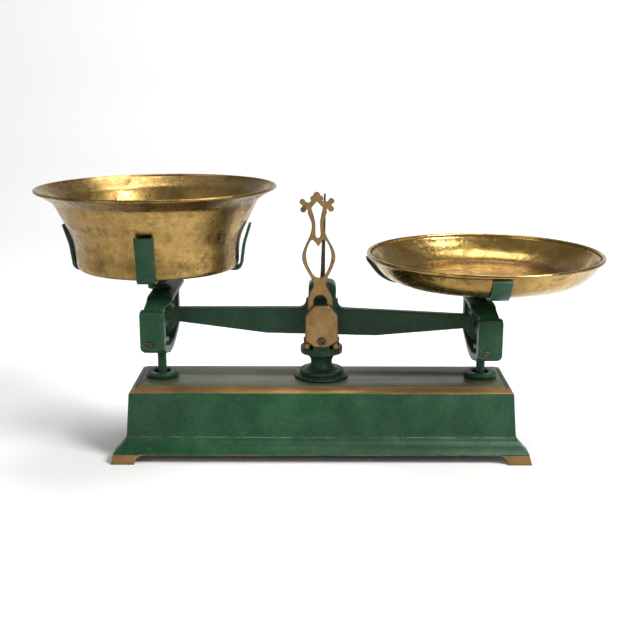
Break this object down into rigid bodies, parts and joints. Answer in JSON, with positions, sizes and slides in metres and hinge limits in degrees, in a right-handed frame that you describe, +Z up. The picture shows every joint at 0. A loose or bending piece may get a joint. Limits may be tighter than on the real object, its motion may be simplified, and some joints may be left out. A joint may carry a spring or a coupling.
{
  "type": "counter balance scale",
  "caption": "Two-pan counter balance on a cast base, with a deep brass bowl, a shallow brass pan and a pierced pointer frame.",
  "frame": {"origin": "on the counter, under the middle of the base", "axes": "+X along the beam to the shallow pan, -Y towards the customer, +Z up"},
  "size_m": [0.5129, 0.217, 0.2444],
  "materials": {
    "green_iron": "worn gloss green enamel",
    "green_steel": "worn gloss green enamel",
    "gold_brass": "gold bronze paint and old brass",
    "pan_brass": "aged polished brass",
    "bare_steel": "dull steel",
    "dark_steel": "dark oxidised steel"
  },
  "bodies": {
    "base": {"base_casting": "green_iron", "column": "green_iron", "column_bolt": "bare_steel", "left_collar": "green_iron", "right_collar": "green_iron", "bearing_bracket": "green_iron", "bracket_screws": "pan_brass", "front_centre_bearing": "bare_steel", "back_centre_bearing": "bare_steel", "front_centre_plate": "gold_brass", "back_centre_plate": "gold_brass", "centre_plate_screws": "bare_steel", "pointer_frame": "gold_brass", "stay_hanger": "green_steel", "hanger_screws": "bare_steel", "stay_pivot_pin": "bare_steel"},
    "beam": {"beam_casting": "green_iron", "centre_knife": "bare_steel", "left_end_knife": "bare_steel", "right_end_knife": "bare_steel", "pointer_needle": "dark_steel", "needle_screws": "dark_steel"},
    "stay": {"stay_lever": "bare_steel", "stay_bush": "pan_brass"},
    "left_carrier": {"left_stirrup": "green_iron", "left_front_bearing": "bare_steel", "left_back_bearing": "bare_steel", "left_front_cover": "green_steel", "left_back_cover": "green_steel", "left_cover_screws": "bare_steel", "left_stem": "green_steel", "left_stem_nut": "bare_steel", "left_stem_pin": "bare_steel", "left_cross_long": "green_steel", "left_cross_short": "green_steel", "left_cross_post": "green_iron", "left_cross_screw": "bare_steel", "left_tare_weight": "bare_steel"},
    "right_carrier": {"right_stirrup": "green_iron", "right_front_bearing": "bare_steel", "right_back_bearing": "bare_steel", "right_front_cover": "green_steel", "right_back_cover": "green_steel", "right_cover_screws": "bare_steel", "right_stem": "green_steel", "right_stem_nut": "bare_steel", "right_stem_pin": "bare_steel", "right_cross_long": "green_steel", "right_cross_short": "green_steel", "right_cross_post": "green_iron", "right_cross_screw": "bare_steel", "right_tare_weight": "bare_steel"},
    "left_bowl": {"left_bowl": "pan_brass"},
    "right_pan": {"right_pan": "pan_brass"}
  },
  "joints": [
    {"name": "beam_rock", "type": "hinge", "parent": "base", "child": "beam", "pos_m": [0, 0, 0.1225], "axis": [0, 1, 0], "range_deg": [-6.35, 3.65]},
    {"name": "left_carrier_hang", "type": "hinge", "parent": "beam", "child": "left_carrier", "pos_m": [-0.14803, 0, 0.12299], "axis": [0, 1, 0], "range_deg": [-3.65, 6.35]},
    {"name": "right_carrier_hang", "type": "hinge", "parent": "beam", "child": "right_carrier", "pos_m": [0.14789, 0, 0.11601], "axis": [0, 1, 0], "range_deg": [-3.65, 6.35]},
    {"name": "stay_rock", "type": "hinge", "parent": "base", "child": "stay", "pos_m": [0, 0, 0.03], "axis": [0, 1, 0], "range_deg": [-6.35, 3.65]},
    {"name": "left_bowl_lift", "type": "slide", "parent": "left_carrier", "child": "left_bowl", "axis": [0, 0, 1], "range_m": [0, 0.09]},
    {"name": "right_pan_lift", "type": "slide", "parent": "right_carrier", "child": "right_pan", "axis": [0, 0, 1], "range_m": [0, 0.06]}
  ],
  "couplings": [
    {"joint": "left_carrier_hang", "follows": "beam_rock", "ratio": -1},
    {"joint": "right_carrier_hang", "follows": "beam_rock", "ratio": -1},
    {"joint": "stay_rock", "follows": "beam_rock", "ratio": 1}
  ]
}
